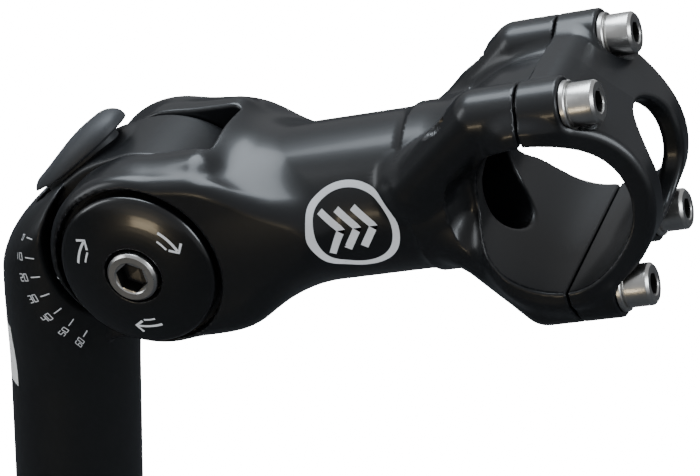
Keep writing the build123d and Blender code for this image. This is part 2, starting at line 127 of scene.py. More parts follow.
# Camera: place in metres, then azimuth, elevation and roll in degrees
CAMERA_PLACE = (0.21057, -0.47239, 0.38863)
CAMERA_ANGLES = (17.41, 31.75, 1.64)


# ---------------------------------------------------------------- distance fields

def smoothstep(low, high, x):
    """0 below low, 1 above high, and a smooth curve between."""
    t = np.clip((x - low) / (high - low), 0, 1)
    return t * t * (3 - 2 * t)


def overlap(a, b, r):
    """Where both fields are inside, with a round convex edge of radius r."""
    return np.minimum(np.maximum(a, b), -r) + np.hypot(np.maximum(a + r, 0), np.maximum(b + r, 0))


def union(a, b, r):
    """Either field, with a round concave fillet of radius r."""
    return np.maximum(np.minimum(a, b), r) - np.hypot(np.maximum(r - a, 0), np.maximum(r - b, 0))


def cut(a, b, r):
    """The first field less the second, with a round edge of radius r."""
    return overlap(a, -b, r)


def soft_union(a, b, k):
    """Either field, melted together over a width k."""
    h = np.clip(0.5 + 0.5 * (b - a) / k, 0, 1)
    return b * (1 - h) + a * h - k * h * (1 - h)


def drop(x, y, p, rp, q, rq):
    """Distance to the hull of two circles in a plane."""
    length = math.hypot(q[0] - p[0], q[1] - p[1])
    ex, ey = (q[0] - p[0]) / length, (q[1] - p[1]) / length
    along = (x - p[0]) * ex + (y - p[1]) * ey
    across = np.abs((x - p[0]) * ey - (y - p[1]) * ex)
    b = (rp - rq) / length
    a = math.sqrt(1 - b * b)
    k = a * along - b * across
    straight = across * a + along * b - rp
    past_end = np.where(k > a * length, np.hypot(across, along - length) - rq, straight)
    return np.where(k < 0, np.hypot(across, along) - rp, past_end)


def limb(x, y, z, p, rp, q, rq):
    """Distance to a straight limb whose radius changes from one end to the other."""
    d = np.subtract(q, p)
    t = np.clip(((x - p[0]) * d[0] + (y - p[1]) * d[1] + (z - p[2]) * d[2]) / (d @ d), 0, 1)
    away = (x - p[0] - t * d[0]) ** 2 + (y - p[1] - t * d[1]) ** 2 + (z - p[2] - t * d[2]) ** 2
    return np.sqrt(away) - (rp + t * (rq - rp))


def arm_field(u, v, w, whole=False):
    """The arm: fork, round tube and rear half of the handlebar clamp. whole leaves out the openings."""
    side = np.abs(v)
    pivot_r = np.hypot(u, w)
    bar_r = np.hypot(u - BAR_U, w)

    # Fork, seen from the side as a drop, with a shoulder round the front of its slot
    ear = drop(u, w, (0, 0), 20.5, (13.0, -0.8), 18.2)
    nose = drop(u, w, (13.0, -0.8), 18.2, (32.0, -0.8), 8.4)
    outline = soft_union(ear, nose, 3.0)
    half_width = 20.3 - 2.4 * smoothstep(18.0, 42.0, u)
    edge = 3.0 + 4.0 * smoothstep(2.0, -12.0, w)
    fork = overlap(outline, side - half_width, edge)
    shoulder = overlap(overlap(np.abs(u - 8.5) - 13.0, w - 20.4, 5.0), side - 17.5, 5.5)
    shoulder = np.maximum(shoulder, -w - 4.0)
    fork = soft_union(fork, shoulder, 2.5)

    # Tube
    tube = np.maximum(np.maximum(np.hypot(v, w) - TUBE_RADIUS, 12.0 - u), u - 68.0)
    body = union(fork, tube, 6.0)

    # Clamp: its sides pinch in behind the bar, and four bosses sweep back into the tube
    back = np.maximum(np.hypot(v, w) - 15.6 - 5.5 * smoothstep(64.0, 82.0, u), 62.0 - u)
    outline = soft_union(bar_r - RING_RADIUS, back, 5.0)
    ahead = u + 8.0 * smoothstep(3.0, -9.0, w)
    pinched = 12.8 + 4.4 * (1 - smoothstep(63.0, 73.5, u)) + 9.7 * smoothstep(72.5, 87.5, ahead)
    clamp = overlap(outline, side - pinched, 2.2)
    a, top, low = side - BOLT_V, w, -w
    upper = limb(u, a, top, (93, 0, BOLT_W), BOSS_RADIUS, (80.5, 0, BOLT_W), BOSS_RADIUS)
    upper = np.minimum(upper, limb(u, a, top, (80.5, 0, BOLT_W), BOSS_RADIUS, (62.0, -1.6, 7.0), 5.0))
    lower = limb(u, a, low, (93, 0, BOLT_W), BOSS_RADIUS, (83.0, 0, BOLT_W), BOSS_RADIUS)
    lower = np.minimum(lower, limb(u, a, low, (83.0, 0, BOLT_W), BOSS_RADIUS, (68.0, -3.6, 6.5), 5.0))
    clamp = union(clamp, np.minimum(upper, lower), 2.8)
    body = union(body, clamp, 4.0)
    if whole:
        return body
    body = overlap(body, u - (BAR_U - SEAM_HALF), 0.3)

    # Openings
    wall = 21.4 - 0.19 * np.maximum(np.abs(w) - 8.0, 0)
    body = cut(body, overlap(u - wall, side - 9.5, 1.5), 0.9)
    body = cut(body, np.maximum(pivot_r - RECESS_RADIUS, CHEEK_DEPTH - side), 0.5)
    pocket = np.maximum(np.maximum(pivot_r - RING_POCKET_OUTER, RING_POCKET_INNER - pivot_r), side - 11.6)
    body = np.maximum(body, -pocket)
    body = np.maximum(body, PIVOT_BORE - pivot_r)
    hollow = np.maximum(np.maximum(np.hypot(v, w) - 12.5, 26.0 - u), u - 64.0)
    mouth = np.maximum(np.hypot(v, np.maximum(np.abs(w) - 2.0, 0)) - 9.0, 60.0 - u)
    body = np.maximum(body, -soft_union(hollow, mouth, 2.0))
    body = cut(body, bar_r - BAR_RADIUS, 0.6)
    thread = np.maximum(np.hypot(a, np.abs(w) - BOLT_W) - 2.55, 55.0 - u)
    return cut(body, thread, 0.2)


def faceplate_field(u, v, w):
    """The faceplate: a half ring with four bolt tabs, webs between them and a window."""
    side, rise = np.abs(v), np.abs(w)
    bar_r = np.hypot(u - BAR_U, w)
    half = CLAMP_HALF - 7.0 * smoothstep(92.0, 110.5, u)
    ring = overlap(bar_r - RING_RADIUS + 0.03 * side - 0.3, side - half, 1.4)
    tab = overlap(np.hypot(side - BOLT_V, rise - BOLT_W) - BOSS_RADIUS, u - TAB_FACE, 0.5)
    web = overlap(overlap(side - 15.5, rise - 23.4, 3.0), u - 97.4, 3.5)
    web = np.maximum(web, 8.0 - rise)
    body = union(union(ring, web, 7.0), tab, 1.6)
    seat = np.maximum(np.hypot(side - BOLT_V, rise - BOLT_W) - 5.05, TAB_FACE - u)
    body = cut(body, seat, 0.25)
    body = cut(body, bar_r - BAR_RADIUS, 0.6)
    body = overlap(body, BAR_U + SEAM_HALF - u, 0.3)
    window = np.hypot(v, np.maximum(rise - 3.6, 0)) - 8.8 + 0.9 * smoothstep(2.0, 12.0, rise)
    body = cut(body, np.maximum(window, BAR_U - u), 1.4)
    hole = np.hypot(side - BOLT_V, rise - BOLT_W) - 2.75
    return np.maximum(body, -hole)


def column_field(x, y, z):
    """The quill, the column, its flared head with the slanted seat, and the tongue."""
    up = z - PIVOT[2]
    side = np.abs(y)
    pivot_r = np.hypot(x - PIVOT[0], up)
    half = COLUMN_RADIUS + 3.45 * smoothstep(-42.0, -17.0, up)
    round_part = (np.hypot(x / COLUMN_RADIUS, y / half) - 1) * COLUMN_RADIUS
    step = COLUMN_RADIUS - (COLUMN_RADIUS - QUILL_RADIUS) * (1 - np.clip(z / 2.5, 0, 1))
    column = np.where(z < 6.0, np.hypot(x, y) - step, round_part)
    seat = (up - SEAT_HEIGHT) * math.cos(SEAT_SLOPE) - x * math.sin(SEAT_SLOPE)
    head = overlap(column, seat, 6.0)
    recess = np.maximum(pivot_r - 22.8, TONGUE_HALF - side)
    head = cut(head, recess, 0.9)
    tongue = drop(x, up, (23.5, 0), 20.8, (4.0, -9.0), 20.0)
    tongue = overlap(overlap(tongue, side - TONGUE_HALF, 1.0), seat, 2.0)
    tongue = np.maximum(tongue, -x - 2.0)
    body = union(head, tongue, 0.8)
    ring_pocket = np.maximum(np.maximum(pivot_r - RING_POCKET_OUTER, RING_POCKET_INNER - pivot_r), 7.2 - side)
    body = np.maximum(body, -ring_pocket)
    body = np.maximum(body, 6.0 - pivot_r)
    body = cut(body, np.maximum(np.hypot(x, y) - 7.25, -13.0 - up), 0.6)
    body = np.maximum(body, -np.maximum(np.hypot(x, y) - 10.3, z - 42.0))
    body = np.maximum(body, 4.25 - np.hypot(x, y))
    slant = np.array([40.0, 25.4]) / math.hypot(40.0, 25.4)
    return overlap(body, -(x * slant[0] + (z + 80.0) * slant[1]), 0.4)


def cap_field(s, t, n):
    """The soft cap in its own axes: s up the slope, t across, n away from the seat."""
    low_end = smoothstep(2.0, -14.5, s)
    half = 8.6 * (1 - 0.42 * low_end ** 2)
    plan = (np.sqrt((np.abs(s) / 14.5) ** 2.4 + (np.abs(t) / half) ** 2.2) - 1) * 8.0
    top = 2.1 + 2.5 * smoothstep(-13.5, 6.0, s) - 0.4 * smoothstep(8.0, 14.5, s) - 0.02 * t * t
    lid = overlap(overlap(plan, -n, 0.5), n - top, 2.9)
    under = (np.hypot(s / 10.7, t / 6.3) - 1) * 6.3
    pad = np.maximum(np.maximum(under, n - 1.0), -n - 1.9)
    return union(lid, pad, 0.5)


def settle(points, field, rounds=3, step=0.05):
    """Points moved onto a field's surface, and the surface's normals there."""
    for _ in range(rounds):
        value = field(*points.T)
        rises = [field(*(points + d).T) - field(*(points - d).T) for d in np.eye(3) * step]
        slope = np.stack([rise / (2 * step) for rise in rises], 1)
        length = np.maximum((slope ** 2).sum(1), 0.2)
        points = points - slope * np.clip(value / length, -0.4, 0.4)[:, None]
    return points, slope / np.sqrt(np.maximum((slope ** 2).sum(1), 1e-6))[:, None]


def spans(*runs):
    """Grid stops along an axis: (from, to, step) runs joined end to end."""
    stops = [np.linspace(a, b, max(2, round((b - a) / s) + 1))[:-1] for a, b, s in runs]
    return np.append(np.concatenate(stops), runs[-1][1])


def to_row(points, axes, origin):
    """Points in millimetres in a piece's own axes, as metres in the row frame."""
    return (points @ axes + origin) * MM


def mesh_object(name, points, faces, normals=None, smooth=True):
    """A mesh object from points in metres."""
    mesh = bpy.data.meshes.new(name)
    mesh.from_pydata(points.tolist(), [], [tuple(int(i) for i in f) for f in faces])
    mesh.validate()
    mesh.update()
    mesh.polygons.foreach_set("use_smooth", [smooth] * len(mesh.polygons))
    if normals is not None and len(mesh.vertices) == len(normals):
        mesh.normals_split_custom_set_from_vertices(normals.tolist())
    made = bpy.data.objects.new(name, mesh)
    bpy.context.scene.collection.objects.link(made)
    return made


def sculpt(name, field, stops, axes, origin):
    """Mesh a distance field on a grid whose spacing may change along each axis."""
    grid_points = np.meshgrid(*[s.astype(np.float32) for s in stops], indexing="ij")
    values = field(*grid_points).astype(np.float32)
    grid = openvdb.FloatGrid(5.0)
    grid.copyFromArray(np.ascontiguousarray(np.clip(values, -5, 5)))
    corners, quads = grid.convertToQuads(isovalue=0.0)
    points = np.stack([np.interp(corners[:, i], np.arange(len(stops[i])), stops[i]) for i in range(3)], 1)
    points, normals = settle(points.astype(float), field)
    a, b, c = (points[quads[:, i]] for i in (0, 1, 2))
    outward = (np.cross(b - a, c - a) * normals[quads[:, 0]]).sum(1).sum()
    if outward < 0:
        quads = quads[:, ::-1]
    return mesh_object(name, to_row(points, axes, origin), quads, normals @ axes)


# ---------------------------------------------------------------- turned and printed pieces

def turned(name, profile, axes, origin, turns=96, hex_from=None):
    """A turned piece: (radius, height) points swept about the third axis.

    From the point hex_from on, the section is a hexagon, and its faces take the second material.
    """
    angles = np.linspace(0, 2 * math.pi, turns, endpoint=False)
    sector = (angles + math.pi / 6) % (math.pi / 3) - math.pi / 6
    points, faces = [], []
    for i, (r, h) in enumerate(profile):
        radius = np.full(turns, float(r))
        if hex_from is not None and i >= hex_from and r > 0:
            radius = r / np.cos(sector)
        level = np.full(turns, float(h))
        points.append(np.stack([radius * np.cos(angles), radius * np.sin(angles), level], 1))
    for i in range(len(profile) - 1):
        for k in range(turns):
            n = (k + 1) % turns
            faces.append((i * turns + k, i * turns + n, (i + 1) * turns + n, (i + 1) * turns + k))
    made = mesh_object(name, to_row(np.concatenate(points), axes, origin), faces)
    if hex_from is not None:
        deep = [int(i // turns >= hex_from) for i in range(len(faces))]
        made.data.polygons.foreach_set("material_index", deep)
    bpy.context.view_layer.objects.active = made
    made.data.set_sharp_from_angle(angle=math.radians(28))
    return made


def rounded(points, r, steps=4):
    """A profile with its inner corners rounded."""
    pts = [np.array(p, float) for p in points]
    out = [pts[0]]
    for a, b, c in zip(pts, pts[1:], pts[2:]):
        ab, cb = a - b, c - b
        la, lc = np.hypot(*ab), np.hypot(*cb)
        if min(la, lc) < 1e-6:
            out.append(b)
            continue
        d = min(r, la * 0.45, lc * 0.45)
        p, q = b + ab / la * d, b + cb / lc * d
        for t in np.linspace(0, 1, steps + 1):
            out.append((1 - t) ** 2 * p + 2 * t * (1 - t) * b + t * t * q)
    out.append(pts[-1])
    return [tuple(p) for p in out]


def ribbon(line, width, close=False):
    """A flat stroke of a given width along points in a plane, as quads."""
    line = np.array(line, float)
    count = len(line)
    ahead = np.roll(line, -1, 0) - line
    behind = line - np.roll(line, 1, 0)
    if not close:
        ahead[-1], behind[0] = behind[-1], ahead[0]
    way = ahead / np.maximum(np.hypot(*ahead.T), 1e-9)[:, None]
    way = way + behind / np.maximum(np.hypot(*behind.T), 1e-9)[:, None]
    way /= np.maximum(np.hypot(*way.T), 1e-9)[:, None]
    normal = np.stack([-way[:, 1], way[:, 0]], 1) * width / 2
    points = np.concatenate([line + normal, line - normal])
    last = count if close else count - 1
    return points, [(i, (i + 1) % count, count + (i + 1) % count, count + i) for i in range(last)]


def dense(line, step):
    """A polyline with points added so that no run is longer than step."""
    out = []
    for a, b in zip(line, line[1:]):
        a, b = np.array(a, float), np.array(b, float)
        n = max(1, math.ceil(np.hypot(*(b - a)) / step))
        out += [a + (b - a) * i / n for i in range(n)]
    return out + [np.array(line[-1], float)]


def skin_object(name, points, faces, normals, axes, origin):
    """Thin print as a mesh whose faces all look along the given normals."""
    sides = []
    for face in faces:
        p, q, r = points[face[0]], points[face[1]], points[face[2]]
        sides.append(face if np.cross(q - p, r - p) @ normals[face[0]] > 0 else face[::-1])
    return mesh_object(name, to_row(points, axes, origin), sides, normals @ axes)


def printed(name, strokes, place, field, axes, origin, lift=0.05):
    """Strokes laid on a sculpted surface: place turns plane points into points near the surface."""
    points, faces, start = [], [], 0
    for flat, quads in strokes:
        points.append(flat)
        faces += [tuple(start + i for i in q) for q in quads]
        start += len(flat)
    near = place(np.concatenate(points))
    on, normals = settle(near, field, rounds=6)
    return skin_object(name, on + normals * lift, faces, normals, axes, origin)


DIGITS = {
    "0": [[(0, 0), (1, 0), (1, 2), (0, 2), (0, 0)]],
    "1": [[(0.5, 0), (0.5, 2)]],
    "2": [[(0, 2), (1, 2), (1, 1), (0, 1), (0, 0), (1, 0)]],
    "3": [[(0, 2), (1, 2), (1, 0), (0, 0)], [(0.2, 1), (1, 1)]],
    "4": [[(0, 2), (0, 1), (1, 1)], [(1, 2), (1, 0)]],
    "5": [[(1, 2), (0, 2), (0, 1), (1, 1), (1, 0), (0, 0)]],
    "6": [[(1, 2), (0, 2), (0, 0), (1, 0), (1, 1), (0, 1)]],
}


def number_strokes(text, centre, angle, size, width):
    """A number drawn in plain strokes, centred on a point and turned by an angle."""
    c, s = math.cos(angle), math.sin(angle)
    advance = 1.5 * size
    out = []
    for i, digit in enumerate(text):
        shift = (i - (len(text) - 1) / 2) * advance - size / 2
        for line in DIGITS[digit]:
            pts = [(x * size + shift, (y - 1) * size) for x, y in line]
            turned_pts = [(centre[0] + c * x - s * y, centre[1] + s * x + c * y) for x, y in pts]
            out.append(ribbon(dense(turned_pts, 0.4), width))
    return out


def arc(centre, r, start, end, step=4.0):
    """Points on an arc, angles in degrees."""
    n = max(2, math.ceil(abs(end - start) / step) + 1)
    angles = [math.radians(t) for t in np.linspace(start, end, n)]
    return [(centre[0] + r * math.cos(t), centre[1] + r * math.sin(t)) for t in angles]


# ---------------------------------------------------------------- materials

def new_group(name, inputs, outputs):
    """A shader node group with named inputs (name, kind, default) and outputs (name, kind)."""
    group = bpy.data.node_groups.new(name, "ShaderNodeTree")
    for label, kind, default in inputs:
        socket = group.interface.new_socket(name=label, in_out="INPUT", socket_type=kind)
        socket.default_value = default
    for label, kind in outputs:
        group.interface.new_socket(name=label, in_out="OUTPUT", socket_type=kind)
    return group, group.nodes.new("NodeGroupInput"), group.nodes.new("NodeGroupOutput")


def math_node(tree, operation, a, b=None, c=None, clamp=False):
    """A math node fed by sockets or numbers; returns its output."""
    node = tree.nodes.new("ShaderNodeMath")
    node.operation = operation
    node.use_clamp = clamp
    for i, value in enumerate((a, b, c)):
        if value is None:
            continue
        if isinstance(value, bpy.types.NodeSocket):
            tree.links.new(value, node.inputs[i])
        else:
            node.inputs[i].default_value = value
    return node.outputs[0]


def noise(tree, vector, scale, detail=3.0, roughness=0.5):
    """A noise texture's value."""
    node = tree.nodes.new("ShaderNodeTexNoise")
    tree.links.new(vector, node.inputs["Vector"])
    if isinstance(scale, bpy.types.NodeSocket):
        tree.links.new(scale, node.inputs["Scale"])
    else:
        node.inputs["Scale"].default_value = scale
    node.inputs["Detail"].default_value = detail
    node.inputs["Roughness"].default_value = roughness
    return node.outputs["Fac"]


def make_groups():
    """Node groups shared by the materials."""
    surface, entry, out = new_group(
        "Finish_Variation",
        [("Scale", "NodeSocketFloat", 400.0), ("Base", "NodeSocketFloat", 0.3),
         ("Spread", "NodeSocketFloat", 0.1)],
        [("Roughness", "NodeSocketFloat"), ("Smudge", "NodeSocketFloat"), ("Grain", "NodeSocketFloat")])
    coords = surface.nodes.new("ShaderNodeTexCoord").outputs["Object"]
    broad = noise(surface, coords, 45.0, 4.0, 0.55)
    fine = noise(surface, coords, entry.outputs["Scale"], 2.0, 0.5)
    mixed = math_node(surface, "MULTIPLY_ADD", fine, 0.35, math_node(surface, "MULTIPLY", broad, 0.65))
    centred = math_node(surface, "SUBTRACT", mixed, 0.5)
    rough = math_node(surface, "MULTIPLY_ADD", centred, entry.outputs["Spread"], entry.outputs["Base"])
    surface.links.new(rough, out.inputs["Roughness"])
    raised = math_node(surface, "SUBTRACT", broad, 0.45)
    surface.links.new(math_node(surface, "SMOOTH_MAX", raised, 0.0, 0.05), out.inputs["Smudge"])
    surface.links.new(fine, out.inputs["Grain"])

    wear, entry, out = new_group(
        "Edge_Wear",
        [("Amount", "NodeSocketFloat", 0.5), ("Radius", "NodeSocketFloat", 0.0006)],
        [("Mask", "NodeSocketFloat")])
    coords = wear.nodes.new("ShaderNodeTexCoord").outputs["Object"]
    bevel = wear.nodes.new("ShaderNodeBevel")
    bevel.samples = 4
    wear.links.new(entry.outputs["Radius"], bevel.inputs["Radius"])
    geometry = wear.nodes.new("ShaderNodeNewGeometry")
    dot = wear.nodes.new("ShaderNodeVectorMath")
    dot.operation = "DOT_PRODUCT"
    wear.links.new(bevel.outputs["Normal"], dot.inputs[0])
    wear.links.new(geometry.outputs["Normal"], dot.inputs[1])
    edge = math_node(wear, "SUBTRACT", 1.0, dot.outputs["Value"])
    patchy = math_node(wear, "GREATER_THAN", noise(wear, coords, 900.0, 3.0), 0.52)
    mask = math_node(wear, "MULTIPLY", math_node(wear, "MULTIPLY", edge, 6.0, clamp=True), patchy)
    wear.links.new(math_node(wear, "MULTIPLY", mask, entry.outputs["Amount"], clamp=True), out.inputs["Mask"])

    brush, entry, out = new_group(
        "Turned_Marks",
        [("Axis X", "NodeSocketFloat", 1.0), ("Axis Y", "NodeSocketFloat", 0.0),
         ("Axis Z", "NodeSocketFloat", 0.0), ("Scale", "NodeSocketFloat", 3000.0)],
        [("Height", "NodeSocketFloat"), ("Tone", "NodeSocketFloat")])
    coords = brush.nodes.new("ShaderNodeTexCoord").outputs["Object"]
    axis = brush.nodes.new("ShaderNodeCombineXYZ")
    for name in ("X", "Y", "Z"):
        brush.links.new(entry.outputs[f"Axis {name}"], axis.inputs[name])
    along = brush.nodes.new("ShaderNodeVectorMath")
    along.operation = "DOT_PRODUCT"
    brush.links.new(coords, along.inputs[0])
    brush.links.new(axis.outputs[0], along.inputs[1])
    rings = brush.nodes.new("ShaderNodeTexNoise")
    rings.noise_dimensions = "1D"
    brush.links.new(along.outputs["Value"], rings.inputs["W"])
    brush.links.new(entry.outputs["Scale"], rings.inputs["Scale"])
    rings.inputs["Detail"].default_value = 2.0
    brush.links.new(rings.outputs["Fac"], out.inputs["Height"])
    brush.links.new(noise(brush, coords, 250.0, 3.0), out.inputs["Tone"])
    return surface, wear, brush


def new_material(name):
    """An empty material with its shader and output."""
    material = bpy.data.materials.new(name)
    material.use_nodes = True
    tree = material.node_tree
    return material, tree, tree.nodes["Principled BSDF"]


def add_group(tree, group, **values):
    """A group node with its inputs set."""
    node = tree.nodes.new("ShaderNodeGroup")
    node.node_tree = group
    for key, value in values.items():
        node.inputs[key.replace("_", " ")].default_value = value
    return node


def bump(tree, shader, height, strength, distance):
    """A bump from a height into the shader's normal."""
    node = tree.nodes.new("ShaderNodeBump")
    node.inputs["Strength"].default_value = strength
    node.inputs["Distance"].default_value = distance
    tree.links.new(height, node.inputs["Height"])
    tree.links.new(node.outputs["Normal"], shader.inputs["Normal"])


def blend_colour(tree, factor, first, second):
    """A colour mixed from two by a factor socket."""
    node = tree.nodes.new("ShaderNodeMix")
    node.data_type = "RGBA"
    tree.links.new(factor, node.inputs["Factor"])
    for socket, value in ((node.inputs[6], first), (node.inputs[7], second)):
        if isinstance(value, bpy.types.NodeSocket):
            tree.links.new(value, socket)
        else:
            socket.default_value = (*value, 1)
    return node.outputs[2]


def paint(name, groups, colour, base, spread, coat, coat_roughness, grain, wear, smudge_colour):
    """Paint on alloy: varied gloss, faint orange peel, bright metal where edges are worn."""
    material, tree, shader = new_material(name)
    finish = add_group(tree, groups[0], Scale=2600.0, Base=base, Spread=spread)
    worn = add_group(tree, groups[1], Amount=wear, Radius=0.0004)
    tone = blend_colour(tree, finish.outputs["Smudge"], colour, smudge_colour)
    bare = (0.42, 0.42, 0.43)
    tree.links.new(blend_colour(tree, worn.outputs["Mask"], tone, bare), shader.inputs["Base Color"])
    tree.links.new(worn.outputs["Mask"], shader.inputs["Metallic"])
    tree.links.new(finish.outputs["Roughness"], shader.inputs["Roughness"])
    shader.inputs["Coat Weight"].default_value = coat
    shader.inputs["Coat Roughness"].default_value = coat_roughness
    shader.inputs["Specular IOR Level"].default_value = 0.38
    bump(tree, shader, finish.outputs["Grain"], grain, 0.00003)
    return material


def metal(name, groups, colour, dark, base, axis, marks, strength):
    """Machined metal with turning marks about an axis and tonal patches."""
    material, tree, shader = new_material(name)
    finish = add_group(tree, groups[0], Scale=1500.0, Base=base, Spread=0.14)
    lines = add_group(tree, groups[2], Axis_X=axis[0], Axis_Y=axis[1], Axis_Z=axis[2], Scale=marks)
    tree.links.new(blend_colour(tree, lines.outputs["Tone"], dark, colour), shader.inputs["Base Color"])
    shader.inputs["Metallic"].default_value = 1.0
    tree.links.new(finish.outputs["Roughness"], shader.inputs["Roughness"])
    bump(tree, shader, lines.outputs["Height"], strength, 0.00004)
    return material


def plain_print(name, groups, colour):
    """Screen print: slightly uneven ink."""
    material, tree, shader = new_material(name)
    finish = add_group(tree, groups[0], Scale=3000.0, Base=0.45, Spread=0.15)
    darker = tuple(c * 0.86 for c in colour)
    tree.links.new(blend_colour(tree, finish.outputs["Grain"], darker, colour), shader.inputs["Base Color"])
    tree.links.new(finish.outputs["Roughness"], shader.inputs["Roughness"])
    bump(tree, shader, finish.outputs["Grain"], 0.1, 0.00002)
    return material


def rubber(name, groups):
    """Matt dark plastic with a fine spark-eroded grain."""
    material, tree, shader = new_material(name)
    finish = add_group(tree, groups[0], Scale=3200.0, Base=0.56, Spread=0.12)
    tone = blend_colour(tree, finish.outputs["Smudge"], (0.022, 0.024, 0.027), (0.04, 0.042, 0.046))
    tree.links.new(tone, shader.inputs["Base Color"])
    tree.links.new(finish.outputs["Roughness"], shader.inputs["Roughness"])
    bump(tree, shader, finish.outputs["Grain"], 0.35, 0.00006)
    return material


def make_materials():
    """Every material, by short name."""
    groups = make_groups()
    across = (0.0, 1.0, 0.0)
    upright = (0.0, 0.0, 1.0)
    along = tuple(U)
    return {
        "gloss": paint("Gloss_black_paint", groups, (0.004, 0.0045, 0.0055),
                       0.36, 0.10, 0.25, 0.16, 0.10, 0.25, (0.007, 0.0075, 0.0085)),
        "satin": paint("Satin_black_paint", groups, (0.005, 0.0055, 0.0063),
                       0.42, 0.10, 0.15, 0.2, 0.16, 0.22, (0.008, 0.0085, 0.0095)),
        "dome": paint("Dome_black_paint", groups, (0.0025, 0.0027, 0.0032),
                      0.30, 0.06, 0.6, 0.13, 0.05, 0.2, (0.009, 0.0095, 0.0105)),
        "rubber": rubber("Matt_cap_plastic", groups),
        "bolt": metal("Bolt_steel_clamp", groups, (0.72, 0.71, 0.69),
                      (0.50, 0.49, 0.47), 0.30, along, 2600.0, 0.35),
        "tilt_bolt": metal("Bolt_steel_tilt", groups, (0.72, 0.71, 0.69),
                           (0.5, 0.49, 0.47), 0.28, across, 2600.0, 0.3),
        # Painted shade: the faces inside the hexagon sockets get a dark steel colour that stands in for the
        # shade in the socket.
        "socket": metal("Bolt_socket_painted_shade", groups, (0.10, 0.098, 0.095),
                        (0.05, 0.049, 0.047), 0.42, along, 2600.0, 0.35),
        "expander": metal("Bolt_steel_expander", groups, (0.55, 0.54, 0.52),
                          (0.34, 0.33, 0.32), 0.36, upright, 2200.0, 0.35),
        "alloy": metal("Machined_alloy", groups, (0.78, 0.78, 0.79),
                       (0.6, 0.6, 0.61), 0.32, upright, 1400.0, 0.4),
        "ring": metal("Sintered_steel", groups, (0.30, 0.30, 0.31),
                      (0.17, 0.17, 0.175), 0.5, across, 900.0, 0.5),
        "bronze": metal("Plain_bronze", groups, (0.62, 0.42, 0.2),
                        (0.42, 0.27, 0.12), 0.38, across, 1500.0, 0.4),
        "print": plain_print("Pale_print", groups, (0.62, 0.63, 0.65)),
        "dim_print": plain_print("Fine_print", groups, (0.45, 0.46, 0.48)),
        "label": plain_print("Plain_label", groups, (0.66, 0.66, 0.65)),
    }


def dress(piece, material, body, slot, *nodes, inner=None):
    """Give a piece its material, body and the nodes it stands for; the slot argument is not used. inner is
    for faces marked 1.
    """
    marked = [polygon.material_index for polygon in piece.data.polygons]
    piece.data.materials.clear()
    piece.data.materials.append(material)
    if inner:
        piece.data.materials.append(inner)
        piece.data.polygons.foreach_set("material_index", marked)
    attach(piece, body)
    if nodes:
        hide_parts(*nodes)
    return piece


# ---------------------------------------------------------------- settings

class StemSculpt(bpy.types.PropertyGroup):
    """How finely the castings are meshed."""
    cell: FloatProperty(name="Cell", description="Grid spacing of the sculpted castings, in millimetres",
                        default=0.55, min=0.2, max=2.0)
    turns: IntProperty(name="Turns", description="Segments round a turned piece", default=96, min=24, max=256)


class StemPrints(bpy.types.PropertyGroup):
    """Sizes of the printed marks."""
    stroke: FloatProperty(name="Stroke", description="Width of the fine strokes, in millimetres",
                          default=0.28, min=0.1, max=1.0)
    figure: FloatProperty(name="Figure", description="Width of a figure on the angle scale, in millimetres",
                          default=0.82, min=0.2, max=2.0)


class StemStage(bpy.types.PropertyGroup):
    """The floor and the lights."""
    floor_drop: FloatProperty(name="Floor drop", description="Gap between the object and the floor",
                              default=0.0015, unit="LENGTH")
    key_power: FloatProperty(name="Key power", description="Power of the overhead softbox",
                             default=16.0, unit="POWER")
    lens: FloatProperty(name="Lens", description="Focal length of the camera",
                        default=145.1, subtype="DISTANCE_CAMERA")


MATERIALS = {}


def finishes():
    """The materials, made once."""
    if not MATERIALS:
        MATERIALS.update(make_materials())
    return MATERIALS


# ---------------------------------------------------------------- operators

class STEM_OT_column(bpy.types.Operator):
    """Sculpt the quill column with its flared head and tongue."""
    bl_idname = "stem.column"
    bl_label = "Column"

    def execute(self, context):
        c = context.scene.stem_sculpt.cell
        upright = spans((-102.0, 25.0, 2.4), (25.0, 104.0, c))
        stops = [spans((-17.5, 47.0, c)), spans((-19.5, 19.5, c)), upright]
        made = sculpt("column", column_field, stops, ROW_AXES, ORIGIN)
        dress(made, finishes()["satin"], "quill", "black_paint", "quill_column")
        return {"FINISHED"}


class STEM_OT_arm(bpy.types.Operator):
    """Sculpt the tilting arm: fork, tube and rear half of the clamp."""
    bl_idname = "stem.arm"
    bl_label = "Arm"

    def execute(self, context):
        c = context.scene.stem_sculpt.cell
        along = spans((-22.5, 40.0, c), (40.0, 60.0, 1.6), (60.0, 91.0, c))
        stops = [along, spans((-24.5, 24.5, c)), spans((-28.5, 28.5, c))]
        made = sculpt("arm_casting", arm_field, stops, ARM_AXES, PIVOT)
        dress(made, finishes()["gloss"], "arm", "gloss_paint", "arm")
        return {"FINISHED"}


class STEM_OT_faceplate(bpy.types.Operator):
    """Sculpt the faceplate of the handlebar clamp."""
    bl_idname = "stem.faceplate"
    bl_label = "Faceplate"

    def execute(self, context):
        c = 0.75 * context.scene.stem_sculpt.cell
        stops = [spans((88.5, 112.5, c)), spans((-24.0, 24.0, c)), spans((-27.5, 27.5, c))]
        made = sculpt("faceplate_casting", faceplate_field, stops, ARM_AXES, PIVOT)
        dress(made, finishes()["gloss"], "faceplate", "gloss_paint", "faceplate")
        return {"FINISHED"}


